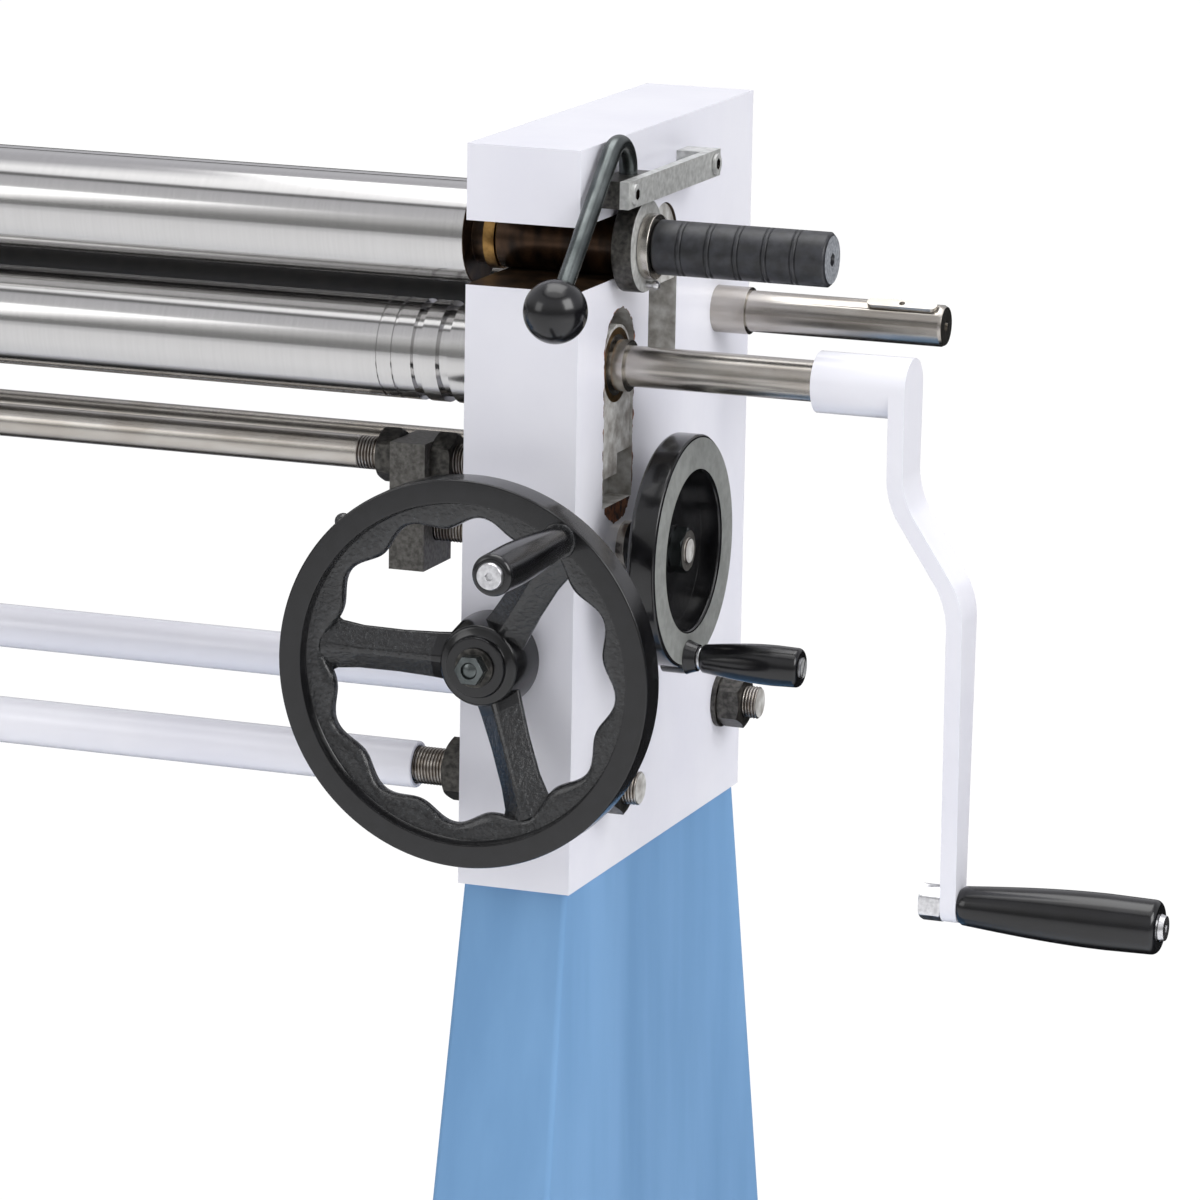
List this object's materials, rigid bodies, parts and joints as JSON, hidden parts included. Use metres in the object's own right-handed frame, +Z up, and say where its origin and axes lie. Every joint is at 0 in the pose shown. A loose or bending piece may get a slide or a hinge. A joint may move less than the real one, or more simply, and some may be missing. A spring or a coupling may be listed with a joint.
{
  "type": "slip roll machine",
  "caption": "Floor-standing hand slip roll: ground rolls between housings on sheet-metal stands, with crank, handwheels, gap adjuster and swing-out upper roll.",
  "frame": {"origin": "middle of the machine's outline, on the floor", "axes": "+X along the rolls towards the crank, -Y towards the operator, +Z up"},
  "size_m": [1.9994, 0.7308, 1.153],
  "materials": {
    "stand_blue": "satin powder coat",
    "housing_white": "gloss enamel",
    "rod_white": "gloss enamel",
    "crank_white": "gloss enamel",
    "ground_roll": "ground round",
    "machined_steel": "turned",
    "black_oxide": "black oxide",
    "black_enamel": "gloss enamel on cast iron",
    "black_plastic": "polished phenolic",
    "black_rubber": "moulded, matte",
    "bronze": "turned bronze",
    "plated_steel": "zinc plated"
  },
  "bodies": {
    "root": {"right_stand": "stand_blue", "left_stand": "stand_blue", "right_housing": "housing_white", "left_housing": "housing_white", "tie_rods": "rod_white", "tie_rod_studs": "machined_steel", "tie_rod_nuts": "black_oxide", "tie_rod_washers": "black_oxide", "stay_rod": "machined_steel", "rod_guides": "black_enamel", "gear_cover": "housing_white", "cap_screws": "black_oxide", "housing_bushes": "machined_steel", "idler_stud": "machined_steel", "latch_pivot": "black_oxide", "swing_pin": "machined_steel"},
    "lower_carriage": {"lower_bearings": "machined_steel", "lower_bushes": "bronze"},
    "lower_roll": {"lower_roll": "ground_roll", "crank_arm": "crank_white", "crank_spindle": "plated_steel", "shaft_collar": "machined_steel", "roll_gear": "machined_steel"},
    "crank_grip": {"crank_grip": "black_plastic"},
    "wedge_slide": {"lift_wedges": "black_oxide", "wedge_rod": "machined_steel", "adjuster_block": "black_oxide", "adjuster_nuts": "black_oxide"},
    "side_wheel": {"side_wheel": "black_enamel", "adjusting_screw": "machined_steel", "side_wheel_nut": "black_oxide", "side_spindle": "plated_steel"},
    "side_grip": {"side_grip": "black_plastic"},
    "rear_carriage": {"rear_bearings": "machined_steel", "rear_lift_screws": "machined_steel"},
    "rear_roll": {"rear_roll": "ground_roll"},
    "right_front_wheel": {"right_front_wheel": "black_enamel", "right_wheel_shaft": "machined_steel", "right_wheel_bolts": "black_oxide"},
    "left_front_wheel": {"left_front_wheel": "black_enamel", "left_wheel_shaft": "machined_steel", "left_wheel_bolts": "black_oxide"},
    "right_front_grip": {"right_front_grip": "black_plastic"},
    "left_front_grip": {"left_front_grip": "black_plastic"},
    "right_lift_nut": {"right_lift_nut": "machined_steel"},
    "left_lift_nut": {"left_lift_nut": "machined_steel"},
    "swing_arm": {"swing_bearing": "black_oxide", "release_ring": "black_oxide", "bronze_ring": "bronze", "grease_nipple": "plated_steel"},
    "upper_roll": {"upper_roll": "ground_roll", "upper_grip": "black_rubber"},
    "latch": {"latch_bar": "black_oxide", "latch_block": "black_oxide", "latch_lever": "black_enamel", "ball_knob": "black_plastic"},
    "layshaft": {"layshaft": "machined_steel", "layshaft_key": "machined_steel", "layshaft_pinion": "machined_steel"},
    "idler": {"idler_gear": "machined_steel"}
  },
  "joints": [
    {"name": "side_wheel_turn", "type": "hinge", "parent": "root", "child": "side_wheel", "pos_m": [0.58635, -0.05264, 0.842], "axis": [1, 0, 0], "range_deg": [-3455, 1727]},
    {"name": "wedge_travel", "type": "slide", "parent": "root", "child": "wedge_slide", "axis": [1, 0, 0], "range_m": [-0.012, 0.024]},
    {"name": "lower_lift", "type": "slide", "parent": "root", "child": "lower_carriage", "axis": [0, 0, 1], "range_m": [-0.006, 0.012]},
    {"name": "lower_spin", "type": "hinge", "parent": "lower_carriage", "child": "lower_roll", "pos_m": [0.48635, -0.06964, 0.979], "axis": [1, 0, 0], "continuous": true},
    {"name": "crank_grip_spin", "type": "hinge", "parent": "lower_roll", "child": "crank_grip", "pos_m": [0.83135, -0.06964, 0.602], "axis": [1, 0, 0], "continuous": true},
    {"name": "side_grip_spin", "type": "hinge", "parent": "side_wheel", "child": "side_grip", "pos_m": [0.58635, -0.06215, 0.76458], "axis": [1, 0, 0], "continuous": true},
    {"name": "right_front_wheel_turn", "type": "hinge", "parent": "root", "child": "right_front_wheel", "pos_m": [0.51635, -0.21564, 0.775], "axis": [0, 1, 0], "range_deg": [0, 4139]},
    {"name": "right_front_grip_spin", "type": "hinge", "parent": "right_front_wheel", "child": "right_front_grip", "pos_m": [0.58977, -0.29564, 0.87985], "axis": [0, 1, 0], "continuous": true},
    {"name": "right_lift_nut_turn", "type": "hinge", "parent": "root", "child": "right_lift_nut", "pos_m": [0.51635, 0.02036, 0.9], "axis": [0, 0, 1], "range_deg": [0, 4140]},
    {"name": "left_front_wheel_turn", "type": "hinge", "parent": "root", "child": "left_front_wheel", "pos_m": [-0.85765, -0.21564, 0.775], "axis": [0, 1, 0], "range_deg": [0, 4140]},
    {"name": "left_front_grip_spin", "type": "hinge", "parent": "left_front_wheel", "child": "left_front_grip", "pos_m": [-0.93107, -0.29564, 0.87985], "axis": [0, 1, 0], "continuous": true},
    {"name": "left_lift_nut_turn", "type": "hinge", "parent": "root", "child": "left_lift_nut", "pos_m": [-0.85765, 0.02036, 0.9], "axis": [0, 0, 1], "range_deg": [0, 4140]},
    {"name": "rear_lift", "type": "slide", "parent": "root", "child": "rear_carriage", "axis": [0, 0, 1], "range_m": [-0.046, 0]},
    {"name": "rear_spin", "type": "hinge", "parent": "rear_carriage", "child": "rear_roll", "pos_m": [0.48635, 0.02036, 1.056], "axis": [1, 0, 0], "continuous": true},
    {"name": "top_swing", "type": "hinge", "parent": "root", "child": "swing_arm", "pos_m": [-0.87115, -0.11964, 1.068], "axis": [0, 0, -1], "range_deg": [0, 12]},
    {"name": "upper_spin", "type": "hinge", "parent": "swing_arm", "child": "upper_roll", "pos_m": [0.48635, -0.06964, 1.068], "axis": [1, 0, 0], "continuous": true},
    {"name": "latch_lift", "type": "hinge", "parent": "root", "child": "latch", "pos_m": [0.59635, 0.05636, 1.1123], "axis": [-1, 0, 0], "range_deg": [0, 66]},
    {"name": "layshaft_spin", "type": "hinge", "parent": "root", "child": "layshaft", "pos_m": [0.48635, 0.14436, 0.9885], "axis": [1, 0, 0], "continuous": true},
    {"name": "idler_spin", "type": "hinge", "parent": "root", "child": "idler", "pos_m": [-0.93765, 0.05819, 0.97025], "axis": [1, 0, 0], "continuous": true}
  ],
  "couplings": [
    {"joint": "wedge_travel", "follows": "side_wheel_turn", "m_per_rad": -0.00039789},
    {"joint": "lower_lift", "follows": "side_wheel_turn", "m_per_rad": -0.00019894},
    {"joint": "right_lift_nut_turn", "follows": "right_front_wheel_turn", "ratio": 1},
    {"joint": "left_front_wheel_turn", "follows": "right_front_wheel_turn", "ratio": 1},
    {"joint": "left_lift_nut_turn", "follows": "right_front_wheel_turn", "ratio": 1},
    {"joint": "rear_lift", "follows": "right_front_wheel_turn", "m_per_rad": -0.00063662},
    {"joint": "latch_lift", "follows": "top_swing", "ratio": 5.5},
    {"joint": "idler_spin", "follows": "layshaft_spin", "ratio": -0.69231}
  ]
}
